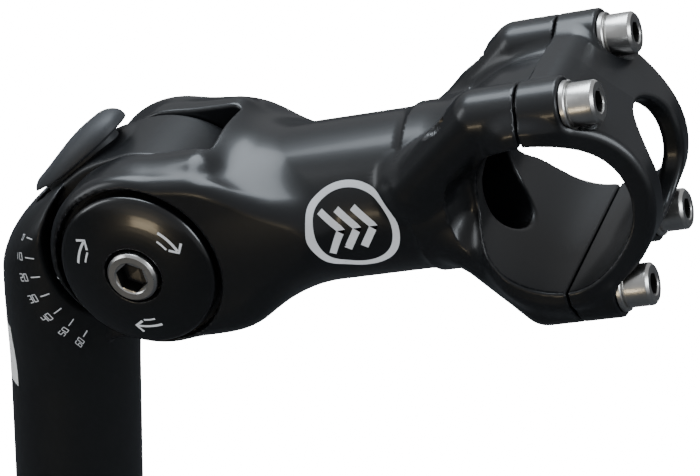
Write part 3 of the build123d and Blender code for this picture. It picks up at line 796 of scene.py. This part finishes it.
class STEM_OT_cap(bpy.types.Operator):
    """Sculpt the soft cap over the expander bolt."""
    bl_idname = "stem.cap"
    bl_label = "Cap"

    def execute(self, context):
        c = 0.6 * context.scene.stem_sculpt.cell
        slope = np.array([math.cos(SEAT_SLOPE), 0, math.sin(SEAT_SLOPE)])
        away = np.array([-math.sin(SEAT_SLOPE), 0, math.cos(SEAT_SLOPE)])
        origin = np.array([2.4, 0, PIVOT[2] + 8.9 + 2.4 * math.tan(SEAT_SLOPE)])
        stops = [spans((-16.0, 16.0, c)), spans((-10.0, 10.0, c)), spans((-3.0, 7.5, c))]
        made = sculpt("cap_moulding", cap_field, stops, np.array([slope, V, away]), origin)
        dress(made, finishes()["rubber"], "cap", "soft_plastic", "expander_cap")
        return {"FINISHED"}


def dome_height(r):
    """Height of a domed washer's crown at a radius."""
    return DOME_SHOULDER + DOME_RISE * (1 - ((r - DOME_CROWN_RADIUS) / DOME_CROWN_SPAN) ** 2)


class STEM_OT_domes(bpy.types.Operator):
    """Turn the two dome washers at the tilt joint."""
    bl_idname = "stem.domes"
    bl_label = "Dome washers"

    def execute(self, context):
        turns = context.scene.stem_sculpt.turns
        rim = [(PIVOT_BORE, 0.0), (DOME_RADIUS, 0.0), (DOME_RADIUS, 3.4), (16.7, 3.85)]
        crown = [(r, dome_height(r)) for r in np.linspace(16.2, 6.9, 9)]
        for name, side, well in (("right", -1, 1.65), ("left", 1, 0.9)):
            inside = [(6.3, 6.0), (DOME_WELL, 5.6), (DOME_WELL, well), (PIVOT_BORE, well), (PIVOT_BORE, 0.0)]
            profile = rounded(rim + crown + inside, 0.25, 3)
            axes = np.array([U, side * W, side * V]) if side > 0 else np.array([U, W, -V])
            made = turned(f"dome_{name}", profile, axes, PIVOT + side * CHEEK_DEPTH * V, turns)
            dress(made, finishes()["dome"], "arm", "gloss_paint", f"dome_washer_{name}")
        return {"FINISHED"}


def cap_screw(name, size, axes, origin, turns):
    """A socket head cap screw: chamfered head with a hexagon socket, and a plain shank."""
    radius, height, key, depth, shank, length = size
    key_r = key / 2
    outer = [(0.0, -length), (shank * 0.8, -length), (shank, -length + 0.8), (shank, -0.3), (shank, 0.0),
             (radius * 0.97, 0.0), (radius * 0.97, 0.35), (radius, 0.45),
             (radius, height - 0.55), (radius - 0.55, height)]
    body = rounded(outer, 0.18, 3)
    socket = [(key_r * 1.22, height), (key_r * 1.155, height - 0.2)]
    well = [(key_r, height - 0.25), (key_r, height - depth), (0.0, height - depth - 0.5)]
    profile = body + socket
    return turned(name, profile + well, axes, origin, turns, hex_from=len(profile))


class STEM_OT_bolts(bpy.types.Operator):
    """Turn the tilt bolt and the four clamp bolts."""
    bl_idname = "stem.bolts"
    bl_label = "Bolts"

    def execute(self, context):
        turns = context.scene.stem_sculpt.turns
        # The socket faces of the bolt heads take the painted shade colour.
        painted_shade = finishes()["socket"]
        place = PIVOT - TILT_HEAD_SEAT * V
        made = cap_screw("tilt_screw_head", TILT_SCREW, np.array([U, W, -V]), place, turns)
        dress(made, finishes()["tilt_bolt"], "tilt_screw", "bolt_steel", "tilt_bolt", inner=painted_shade)
        for level, up in (("upper", 1), ("lower", -1)):
            for side, out in (("right", -1), ("left", 1)):
                spot = f"{level}_{side}"
                place = PIVOT + (TAB_FACE + WASHER_THICKNESS) * U + out * BOLT_V * V + up * BOLT_W * W
                made = cap_screw(f"clamp_screw_{spot}", CLAMP_SCREW, np.array([V, W, U]), place, turns)
                dress(made, finishes()["bolt"], f"screw_{spot}", "bolt_steel", f"faceplate_bolt_{spot}",
                      inner=painted_shade)
        return {"FINISHED"}


class STEM_OT_threads(bpy.types.Operator):
    """Cut threads inside the open ends of the clamp's bolt holes."""
    bl_idname = "stem.threads"
    bl_label = "Threads"

    def execute(self, context):
        turns, start, end = 32, 66.0, 78.0
        rows = int((end - start) / (THREAD_PITCH / 4))
        for level, up in (("upper", 1), ("lower", -1)):
            for side, out in (("right", -1), ("left", 1)):
                angles = np.linspace(0, 2 * math.pi, turns, endpoint=False)
                points = []
                for i in range(rows + 1):
                    u = start + i * THREAD_PITCH / 4
                    phase = (u / THREAD_PITCH + angles / (2 * math.pi)) % 1
                    r = 2.56 - 0.42 * (1 - 2 * np.abs(phase - 0.5))
                    across = out * BOLT_V + r * np.cos(angles)
                    upward = up * BOLT_W + r * np.sin(angles)
                    points.append(np.stack([np.full(turns, u), across, upward], 1))
                points = np.concatenate(points)
                starts = [(i * turns, k, (k + 1) % turns) for i in range(rows) for k in range(turns)]
                quads = [(a + k, a + turns + k, a + turns + n, a + n) for a, k, n in starts]
                inside = arm_field(*points.T, whole=True) < -0.7
                quads = [q for q in quads if all(inside[list(q)])]
                if not quads:
                    continue
                used = sorted({i for q in quads for i in q})
                index = {old: new for new, old in enumerate(used)}
                faces = [tuple(index[i] for i in q) for q in quads]
                made = mesh_object(f"thread_{level}_{side}", to_row(points[used], ARM_AXES, PIVOT), faces)
                dress(made, finishes()["gloss"], "arm", "gloss_paint")
        return {"FINISHED"}


class STEM_OT_hardware(bpy.types.Operator):
    """Finish the carried-over frame nodes."""
    bl_idname = "stem.hardware"
    bl_label = "Hardware finishes"

    def execute(self, context):
        wanted = {
            "tilt_bush": "bronze",
            "expander_wedge": "alloy",
            "expander_bolt": "expander",
            "expander_washer": "expander",
            "tilt_nut": "tilt_bolt",
        }
        for name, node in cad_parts.items():
            key = wanted.get(name) or ("ring" if "ring" in name else "bolt" if "washer" in name else None)
            if key:
                node.data.materials.clear()
                node.data.materials.append(finishes()[key])
        return {"FINISHED"}


class STEM_OT_scale(bpy.types.Operator):
    """Print the angle scale on the head, the pointer on the ear and the marks on the dome."""
    bl_idname = "stem.scale"
    bl_label = "Angle scale"

    def execute(self, context):
        stroke, figure = context.scene.stem_prints.stroke, context.scene.stem_prints.figure
        marks = []
        for value in range(0, SCALE_TOP + 1, SCALE_STEP):
            angle = math.radians(180 + value)
            way = np.array([math.cos(angle), math.sin(angle)])
            marks.append(ribbon(dense([way * SCALE_TICK[0], way * SCALE_TICK[1]], 0.4), stroke))
            turn = math.radians(value)
            marks += number_strokes(str(value), way * SCALE_FIGURES, turn, figure, stroke * 0.7)

        def on_head(flat):
            return np.stack([flat[:, 0] + PIVOT[0], np.full(len(flat), -17.0), flat[:, 1] + PIVOT[2]], 1)
        made = printed("angle_scale", marks, on_head, column_field, ROW_AXES, ORIGIN)
        dress(made, finishes()["print"], "quill", "black_paint")

        def on_ear(flat):
            return np.stack([flat[:, 0], np.full(len(flat), -19.5), flat[:, 1]], 1)
        pointer = [ribbon(dense([(-20.6, 0.0), (-19.0, 0.0)], 0.3), 0.35)]
        made = printed("angle_pointer", pointer, on_ear, arm_field, ARM_AXES, PIVOT)
        dress(made, finishes()["print"], "arm", "gloss_paint")

        # Turning marks on the dome: an arc with an arrow head and a short bar, three times round
        points, faces, normals = [], [], []
        for middle in MARK_CENTRES:
            tip = math.radians(middle - 15)
            end = np.array([math.cos(tip), math.sin(tip)]) * 12.3
            out, back = end / 12.3, np.array([-math.sin(tip), math.cos(tip)])
            head = [end + out * 1.5 + back * 1.5, end, end - out * 1.5 + back * 1.5]
            for flat, quads in (ribbon(arc((0, 0), 12.3, middle - 13, middle + 13), 0.55),
                                ribbon(head, 0.55),
                                ribbon(arc((0, 0), 10.6, middle - 5, middle + 9), 0.4)):
                start = sum(len(p) for p in points)
                r = np.hypot(*flat.T)
                depth = CHEEK_DEPTH + dome_height(r) + 0.04
                tilt = 2 * DOME_RISE * (r - DOME_CROWN_RADIUS) / DOME_CROWN_SPAN ** 2
                n = np.stack([tilt * flat[:, 0] / r, -np.ones(len(flat)), tilt * flat[:, 1] / r], 1)
                points.append(np.stack([flat[:, 0], -depth, flat[:, 1]], 1))
                normals.append(n / np.sqrt((n ** 2).sum(1))[:, None])
                faces += [tuple(start + i for i in q) for q in quads]
        points, normals = np.concatenate(points), np.concatenate(normals)
        made = skin_object("turning_marks", points, faces, normals, ARM_AXES, PIVOT)
        dress(made, finishes()["print"], "arm", "gloss_paint")
        return {"FINISHED"}


class STEM_OT_emblem(bpy.types.Operator):
    """Print a plain ring with chevrons on the side of the tube."""
    bl_idname = "stem.emblem"
    bl_label = "Emblem"

    def execute(self, context):
        strokes = [ribbon(arc((0, 0), 9.2, 0, 360)[:-1], 1.5, close=True)]
        for shift in (-3.6, 0.0, 3.6):
            chevron = [(shift - 2.4, -4.4), (shift + 1.2, 0.0), (shift - 2.4, 4.4)]
            strokes.append(ribbon(dense(chevron, 0.7), 1.6))

        def on_tube(flat):
            angle = (flat[:, 1] + 1.0) / 16.5
            return np.stack([47.7 + flat[:, 0], -16.5 * np.cos(angle), 16.5 * np.sin(angle)], 1)
        made = printed("tube_emblem", strokes, on_tube, arm_field, ARM_AXES, PIVOT)
        dress(made, finishes()["print"], "arm", "gloss_paint")
        return {"FINISHED"}


class STEM_OT_labels(bpy.types.Operator):
    """Add the blank label on the column and the insertion marks on the quill."""
    bl_idname = "stem.labels"
    bl_label = "Label and insertion marks"

    def execute(self, context):
        def on_column(flat):
            angle = flat[:, 0] / COLUMN_RADIUS
            return np.stack([COLUMN_RADIUS * np.cos(angle), COLUMN_RADIUS * np.sin(angle), flat[:, 1]], 1)
        middle = math.radians(LABEL_ANGLE) * COLUMN_RADIUS
        left, right = middle - 5.5, middle + 6.2
        heights = np.arange(LABEL_BOTTOM, LABEL_TOP, 0.5)
        patch = [ribbon(dense([(left, h), (right, h)], 0.6), 0.51) for h in heights]
        made = printed("blank_label", patch, on_column, column_field, ROW_AXES, ORIGIN)
        dress(made, finishes()["label"], "quill", "black_paint")
        angles = np.radians(np.arange(0, 360, 9))
        rounds = angles * COLUMN_RADIUS
        ticks = [ribbon(dense([(a, INSERTION_TOP), (a, INSERTION_BOTTOM)], 1.5), 0.45) for a in rounds]
        made = printed("insertion_marks", ticks, on_column, column_field, ROW_AXES, ORIGIN)
        dress(made, finishes()["dim_print"], "quill", "black_paint")
        return {"FINISHED"}


class STEM_OT_stage(bpy.types.Operator):
    """Set the floor, the soft lights and the camera."""
    bl_idname = "stem.stage"
    bl_label = "Stage and camera"

    def execute(self, context):
        stage = context.scene.stem_stage
        size = 6.0
        points = np.array([(-size, -size, 0), (size, -size, 0), (size, size, 0), (-size, size, 0)], float)
        points[:, 2] = cad_low.z - stage.floor_drop
        floor = mesh_object("floor", points, [(0, 1, 2, 3)])
        material, tree, shader = new_material("Pale_floor")
        shader.inputs["Roughness"].default_value = 0.9
        shader.inputs["Specular IOR Level"].default_value = 0.1
        coords = tree.nodes.new("ShaderNodeTexCoord").outputs["Object"]
        tone = blend_colour(tree, noise(tree, coords, 30.0), (0.93, 0.93, 0.93), (0.95, 0.95, 0.95))
        path = tree.nodes.new("ShaderNodeLightPath")
        tone = blend_colour(tree, path.outputs["Is Glossy Ray"], tone, (0.05, 0.052, 0.055))
        tree.links.new(tone, shader.inputs["Base Color"])
        glow = blend_colour(tree, path.outputs["Is Camera Ray"], (0, 0, 0), (1, 1, 1))
        tree.links.new(glow, shader.inputs["Emission Color"])
        shader.inputs["Emission Strength"].default_value = 16.0
        floor.data.materials.append(material)

        world = bpy.data.worlds.new("Studio")
        context.scene.world = world
        world.use_nodes = True
        world.node_tree.nodes["Background"].inputs["Color"].default_value = (0.95, 0.97, 1.0, 1)
        world.node_tree.nodes["Background"].inputs["Strength"].default_value = 0.42

        def softbox(name, place, target, width, depth, power, colour):
            light = bpy.data.lights.new(name, "AREA")
            light.shape = "RECTANGLE"
            light.size, light.size_y, light.energy, light.color = width, depth, power, colour
            lamp = bpy.data.objects.new(name, light)
            lamp.location = place
            lamp.rotation_euler = (Vector(target) - Vector(place)).to_track_quat("-Z", "Y").to_euler()
            context.scene.collection.objects.link(lamp)
        aim = (0.05, 0.0, 0.07)
        softbox("Key", (-0.25, 0.25, 0.95), aim, 0.75, 0.75, stage.key_power, (0.84, 0.92, 1.0))
        softbox("Side", (-0.85, -0.35, 0.45), aim, 0.3, 0.6, 2.5, (0.92, 0.96, 1.0))
        softbox("Front", (1.0, -0.25, 0.75), aim, 0.5, 0.5, 7.0, (0.88, 0.94, 1.0))
        softbox("Warm", (-0.157, -0.744, -0.005), aim, 0.16, 0.10, 0.5, (1.0, 0.82, 0.55))

        azimuth, elevation, roll = (math.radians(angle) for angle in CAMERA_ANGLES)
        flat = math.cos(elevation)
        back = Vector((math.sin(azimuth) * flat, -math.cos(azimuth) * flat, math.sin(elevation)))
        level = Vector((math.cos(azimuth), math.sin(azimuth), 0))
        up = back.cross(level)
        right = level * math.cos(roll) + up * math.sin(roll)
        top = up * math.cos(roll) - level * math.sin(roll)
        camera = bpy.data.objects.new("Camera", bpy.data.cameras.new("Camera"))
        turn = Matrix((right, top, back)).transposed().to_4x4()
        camera.matrix_world = Matrix.Translation(CAMERA_PLACE) @ turn
        camera.data.lens = stage.lens
        camera.data.sensor_width = 36.0
        camera.data.clip_start, camera.data.clip_end = 0.01, 30.0
        context.scene.collection.objects.link(camera)
        context.scene.camera = camera
        return {"FINISHED"}


class STEM_PT_panel(bpy.types.Panel):
    """Sidebar list of the builder's steps."""
    bl_idname = "STEM_PT_panel"
    bl_label = "Handlebar stem"
    bl_space_type = "VIEW_3D"
    bl_region_type = "UI"
    bl_category = "Stem"

    def draw(self, context):
        scene = context.scene
        for settings in (scene.stem_sculpt, scene.stem_prints, scene.stem_stage):
            for key in settings.__annotations__:
                self.layout.prop(settings, key)
        for step in STEPS:
            self.layout.operator(step.bl_idname)


STEPS = (STEM_OT_stage, STEM_OT_column, STEM_OT_arm, STEM_OT_faceplate, STEM_OT_cap, STEM_OT_domes,
         STEM_OT_bolts, STEM_OT_threads, STEM_OT_hardware, STEM_OT_scale, STEM_OT_emblem, STEM_OT_labels)
CLASSES = (StemSculpt, StemPrints, StemStage, *STEPS, STEM_PT_panel)


def register():
    """Register the classes and their settings."""
    for cls in CLASSES:
        bpy.utils.register_class(cls)
    bpy.types.Scene.stem_sculpt = PointerProperty(type=StemSculpt)
    bpy.types.Scene.stem_prints = PointerProperty(type=StemPrints)
    bpy.types.Scene.stem_stage = PointerProperty(type=StemStage)


def unregister():
    """Remove the settings and the classes."""
    del bpy.types.Scene.stem_stage
    del bpy.types.Scene.stem_prints
    del bpy.types.Scene.stem_sculpt
    for cls in reversed(CLASSES):
        bpy.utils.unregister_class(cls)


def main():
    """Build everything in order."""
    register()
    for step in STEPS:
        group, name = step.bl_idname.split(".")
        getattr(getattr(bpy.ops, group), name)()


if __name__ == "__main__":
    main()
